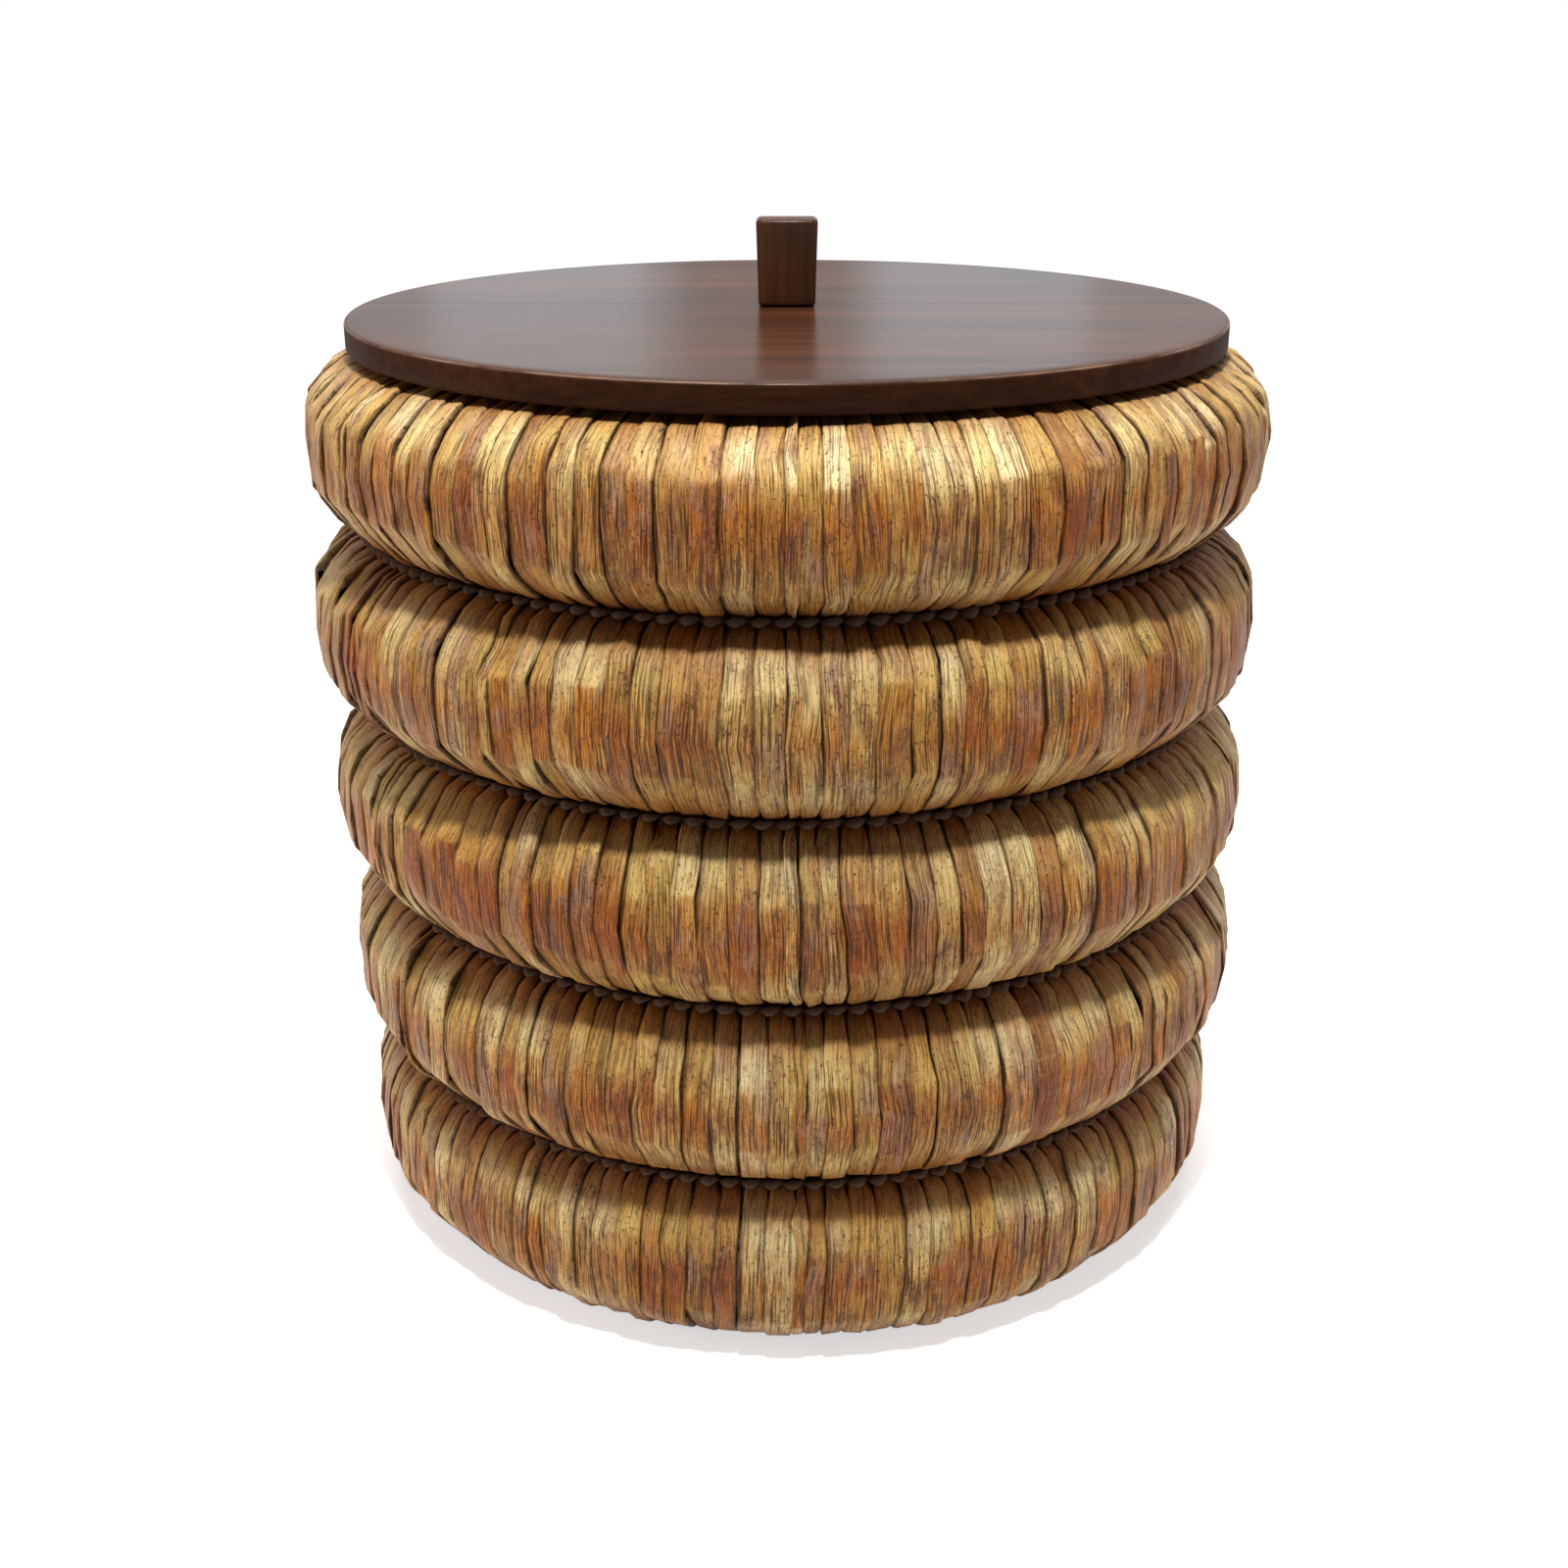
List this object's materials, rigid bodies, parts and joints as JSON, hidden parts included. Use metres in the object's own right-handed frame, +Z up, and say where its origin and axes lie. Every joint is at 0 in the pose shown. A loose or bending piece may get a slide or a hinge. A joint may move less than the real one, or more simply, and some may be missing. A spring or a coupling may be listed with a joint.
{
  "type": "round basket",
  "caption": "Round lidded storage basket: bulging bands of upright plant strips on a wire frame, with a lift-off plank lid and a peg handle.",
  "frame": {"origin": "on the floor, in the middle of the foot", "axes": "+Z up along the basket's axis, -Y towards the viewer of the picture, +X to the viewer's right"},
  "size_m": [0.48, 0.48, 0.5064],
  "materials": {
    "plant_strip": "dried flattened stem, satin where it is bent over a hoop",
    "fibre_cord": "matt twisted fibre",
    "frame_steel": "black lacquered wire and bar",
    "walnut_lacquer": "dark walnut stain under satin lacquer",
    "screw_steel": "zinc plated"
  },
  "bodies": {
    "basket": {"woven_band_1": "plant_strip", "low_hoop_1": "frame_steel", "high_hoop_1": "frame_steel", "woven_band_2": "plant_strip", "low_hoop_2": "frame_steel", "high_hoop_2": "frame_steel", "woven_band_3": "plant_strip", "low_hoop_3": "frame_steel", "high_hoop_3": "frame_steel", "woven_band_4": "plant_strip", "low_hoop_4": "frame_steel", "high_hoop_4": "frame_steel", "woven_band_5": "plant_strip", "low_hoop_5": "frame_steel", "high_hoop_5": "frame_steel", "twined_cord_1": "fibre_cord", "waist_hoop_1": "frame_steel", "twined_cord_2": "fibre_cord", "waist_hoop_2": "frame_steel", "twined_cord_3": "fibre_cord", "waist_hoop_3": "frame_steel", "twined_cord_4": "fibre_cord", "waist_hoop_4": "frame_steel", "foot_binding": "fibre_cord", "rim_binding": "fibre_cord", "foot_hoop": "frame_steel", "rim_hoop": "frame_steel", "frame_rib_1": "frame_steel", "frame_rib_2": "frame_steel", "frame_rib_3": "frame_steel", "frame_rib_4": "frame_steel", "frame_rib_5": "frame_steel", "frame_rib_6": "frame_steel", "frame_rib_7": "frame_steel", "frame_rib_8": "frame_steel", "base_bar_front": "frame_steel", "base_bar_middle": "frame_steel", "base_bar_rear": "frame_steel", "base_mat": "plant_strip"},
    "lid": {"lid_front_board": "walnut_lacquer", "lid_rear_board": "walnut_lacquer", "lid_batten_left": "walnut_lacquer", "lid_batten_right": "walnut_lacquer", "lid_handle": "walnut_lacquer", "batten_screw_1": "screw_steel", "batten_screw_2": "screw_steel", "batten_screw_3": "screw_steel", "batten_screw_4": "screw_steel", "batten_screw_5": "screw_steel", "batten_screw_6": "screw_steel", "batten_screw_7": "screw_steel", "batten_screw_8": "screw_steel", "handle_screw_left": "screw_steel", "handle_screw_right": "screw_steel"}
  },
  "joints": [
    {"name": "lid_lift", "type": "slide", "parent": "basket", "child": "lid", "axis": [0, 0, 1], "range_m": [0, 0.2]}
  ]
}
